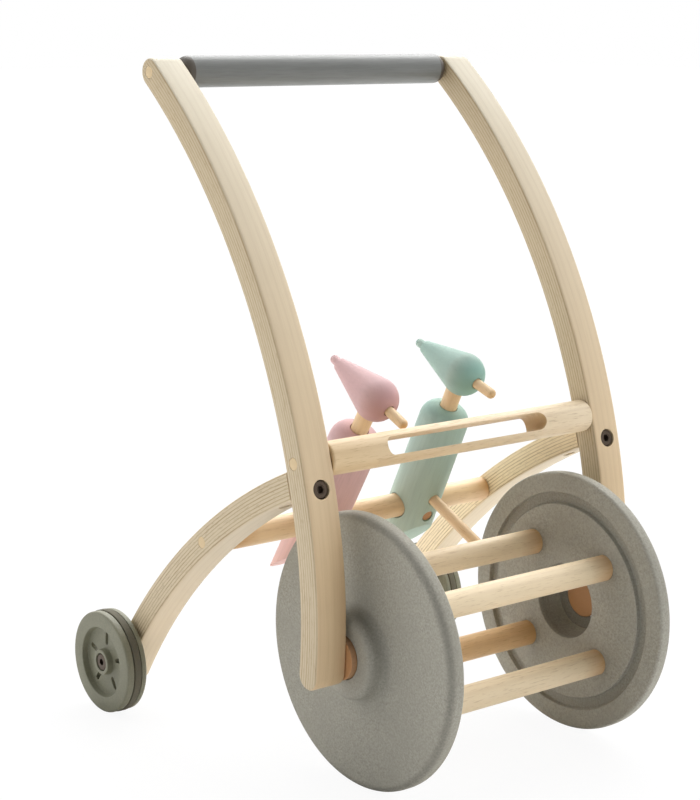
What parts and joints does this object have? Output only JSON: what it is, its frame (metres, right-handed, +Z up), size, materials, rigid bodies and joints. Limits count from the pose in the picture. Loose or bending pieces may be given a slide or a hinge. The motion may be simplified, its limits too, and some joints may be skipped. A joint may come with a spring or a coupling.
{
  "type": "toddler push toy",
  "caption": "Wooden push-along walker with a handlebar, a rolling drum front axle whose dowels rock two birds, and small rear wheels.",
  "frame": {"origin": "middle of the toy's length and width on the ground it stands on", "axes": "+Z up, +X the way it rolls, +Y to the toy's left"},
  "size_m": [0.3424, 0.3088, 0.4571],
  "materials": {
    "plywood": "satin clear lacquer on bent birch plywood",
    "beech": "sanded, clear lacquer",
    "peach_wood": "sanded, clear lacquer, slightly darker",
    "salmon_wood": "raw end grain",
    "grey_paint": "matte grey stain, fine speckle",
    "grey_grip": "matte grey stain",
    "grey_plastic": "fine moulded texture",
    "rubber": "matte",
    "pink_paint": "matte pastel pink stain",
    "mint_paint": "matte pastel green stain",
    "dark_bronze": "dark bronze coated",
    "steel": "zinc plated"
  },
  "bodies": {
    "frame": {"right_upright": "plywood", "right_rear_leg": "plywood", "left_upright": "plywood", "left_rear_leg": "plywood", "handlebar": "grey_grip", "tapping_beam": "beech", "rear_crossbar": "peach_wood", "right_stub_axle": "salmon_wood", "right_frame_bolt": "dark_bronze", "right_barrel_nut": "dark_bronze", "right_handlebar_plug": "beech", "right_handlebar_screw": "steel", "right_beam_plug": "beech", "right_beam_screw": "steel", "right_crossbar_plug": "beech", "right_crossbar_screw": "steel", "right_rear_axle_bolt": "dark_bronze", "right_washer": "steel", "right_threaded_insert": "steel", "left_stub_axle": "salmon_wood", "left_frame_bolt": "dark_bronze", "left_barrel_nut": "dark_bronze", "left_handlebar_plug": "beech", "left_handlebar_screw": "steel", "left_beam_plug": "beech", "left_beam_screw": "steel", "left_crossbar_plug": "beech", "left_crossbar_screw": "steel", "left_rear_axle_bolt": "dark_bronze", "left_washer": "steel", "left_threaded_insert": "steel"},
    "drum": {"right_front_wheel": "grey_paint", "left_front_wheel": "grey_paint", "drum_dowel_1": "beech", "drum_dowel_2": "beech", "drum_dowel_3": "beech", "drum_dowel_4": "beech"},
    "right_rear_wheel_body": {"right_rear_wheel": "grey_plastic", "right_rubber_ring": "rubber"},
    "left_rear_wheel_body": {"left_rear_wheel": "grey_plastic", "left_rubber_ring": "rubber"},
    "pink_bird": {"pink_bird_body": "pink_paint", "pink_bird_neck": "peach_wood", "pink_bird_head": "pink_paint", "pink_bird_beak": "peach_wood", "pink_bird_peg": "peach_wood", "pink_bird_retaining_pin": "salmon_wood"},
    "mint_bird": {"mint_bird_body": "mint_paint", "mint_bird_neck": "peach_wood", "mint_bird_head": "mint_paint", "mint_bird_beak": "peach_wood", "mint_bird_peg": "peach_wood", "mint_bird_retaining_pin": "salmon_wood"}
  },
  "joints": [
    {"name": "drum_spin", "type": "hinge", "parent": "frame", "child": "drum", "pos_m": [0.08135, 0, 0.09], "axis": [0, 1, 0], "continuous": true},
    {"name": "right_rear_wheel_spin", "type": "hinge", "parent": "frame", "child": "right_rear_wheel_body", "pos_m": [-0.13495, -0.146, 0.0364], "axis": [0, 1, 0], "continuous": true},
    {"name": "left_rear_wheel_spin", "type": "hinge", "parent": "frame", "child": "left_rear_wheel_body", "pos_m": [-0.13495, 0.146, 0.0364], "axis": [0, 1, 0], "continuous": true},
    {"name": "pink_bird_rock", "type": "hinge", "parent": "frame", "child": "pink_bird", "pos_m": [-0.03499, -0.0387, 0.1429], "axis": [0, 1, 0], "range_deg": [-16.1, 1.1]},
    {"name": "mint_bird_rock", "type": "hinge", "parent": "frame", "child": "mint_bird", "pos_m": [-0.03499, 0.047, 0.1429], "axis": [0, 1, 0], "range_deg": [-10.1, 7.1]}
  ]
}
